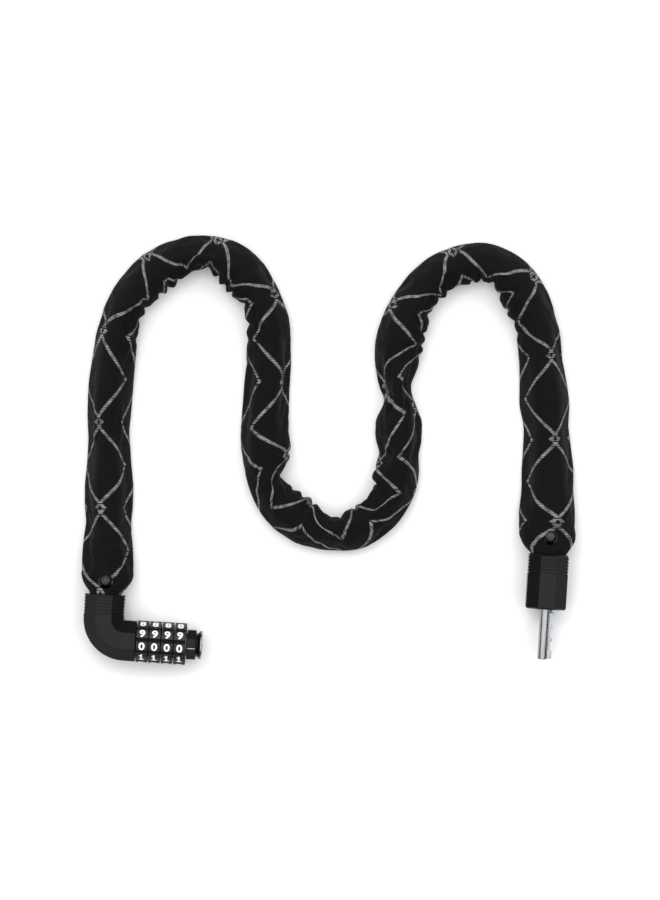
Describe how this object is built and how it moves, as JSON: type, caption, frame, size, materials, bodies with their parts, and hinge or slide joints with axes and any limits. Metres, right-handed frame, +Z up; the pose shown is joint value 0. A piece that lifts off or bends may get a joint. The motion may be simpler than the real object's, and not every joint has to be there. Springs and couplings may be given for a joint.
{
  "type": "chain lock",
  "caption": "Sleeved steel chain with a combination lock head on one end and a toothed steel pin on the other.",
  "frame": {"origin": "middle of the footprint of the two heads, on the surface that the lock lies on", "axes": "+X from the lock head to the pin head, along the lock barrel; the pin points along -Y; +Z up"},
  "size_m": [0.2702, 0.2419, 0.023],
  "materials": {
    "head_nylon": "moulded glass-filled nylon",
    "dial_plastic": "moulded ABS with pad-printed digits",
    "collar_plastic": "moulded ABS",
    "sleeve_fabric": "ribbed woven polyester with reflective yarn",
    "pin_steel": "nickel-plated steel",
    "hardened_steel": "zinc-plated steel",
    "brass": "machined brass",
    "rivet_nickel": "black nickel plate",
    "nose_chrome": "chrome plate"
  },
  "bodies": {
    "chain": {"link_01": "hardened_steel", "link_02": "hardened_steel", "link_03": "hardened_steel", "link_04": "hardened_steel", "link_05": "hardened_steel", "link_06": "hardened_steel", "link_07": "hardened_steel", "link_08": "hardened_steel", "link_09": "hardened_steel", "link_10": "hardened_steel", "link_11": "hardened_steel", "link_12": "hardened_steel", "link_13": "hardened_steel", "link_14": "hardened_steel", "link_15": "hardened_steel", "link_16": "hardened_steel", "link_17": "hardened_steel", "link_18": "hardened_steel", "link_19": "hardened_steel", "link_20": "hardened_steel", "link_21": "hardened_steel", "link_22": "hardened_steel", "link_23": "hardened_steel", "link_24": "hardened_steel", "link_25": "hardened_steel", "link_26": "hardened_steel", "link_27": "hardened_steel", "link_28": "hardened_steel", "link_29": "hardened_steel", "link_30": "hardened_steel", "link_31": "hardened_steel", "link_32": "hardened_steel", "link_33": "hardened_steel", "sleeve": "sleeve_fabric", "lock_rivet": "rivet_nickel", "pin_rivet": "rivet_nickel"},
    "lock_head": {"lock_body": "head_nylon", "lock_anchor_pin": "hardened_steel", "core_tube": "brass", "core_key_pin": "hardened_steel", "reset_spring": "hardened_steel", "wave_washer": "hardened_steel", "end_collar": "collar_plastic"},
    "dial_1_body": {"dial_1": "dial_plastic", "code_ring_1": "brass"},
    "dial_2_body": {"dial_2": "dial_plastic", "code_ring_2": "brass"},
    "dial_3_body": {"dial_3": "dial_plastic", "code_ring_3": "brass"},
    "dial_4_body": {"dial_4": "dial_plastic", "code_ring_4": "brass"},
    "reset_body": {"reset_ring": "nose_chrome"},
    "pin_head": {"pin_shell": "head_nylon", "pin_anchor_pin": "hardened_steel", "pin_key_pin": "hardened_steel", "lock_pin": "pin_steel"}
  },
  "joints": [
    {"name": "lock_head_swing", "type": "hinge", "parent": "chain", "child": "lock_head", "pos_m": [-0.121, -0.0079, 0.0115], "axis": [0, 0, 1], "range_deg": [-10, 10]},
    {"name": "pin_head_swing", "type": "hinge", "parent": "chain", "child": "pin_head", "pos_m": [0.121, 0.0314, 0.0115], "axis": [0, 0, 1], "range_deg": [-10, 10]},
    {"name": "dial_1_turn", "type": "hinge", "parent": "lock_head", "child": "dial_1_body", "pos_m": [-0.121, -0.0252, 0.0115], "axis": [1, 0, 0], "continuous": true},
    {"name": "dial_2_turn", "type": "hinge", "parent": "lock_head", "child": "dial_2_body", "pos_m": [-0.121, -0.0252, 0.0115], "axis": [1, 0, 0], "continuous": true},
    {"name": "dial_3_turn", "type": "hinge", "parent": "lock_head", "child": "dial_3_body", "pos_m": [-0.121, -0.0252, 0.0115], "axis": [1, 0, 0], "continuous": true},
    {"name": "dial_4_turn", "type": "hinge", "parent": "lock_head", "child": "dial_4_body", "pos_m": [-0.121, -0.0252, 0.0115], "axis": [1, 0, 0], "continuous": true},
    {"name": "reset_turn", "type": "hinge", "parent": "lock_head", "child": "reset_body", "pos_m": [-0.121, -0.0252, 0.0115], "axis": [1, 0, 0], "range_deg": [0, 90]}
  ]
}
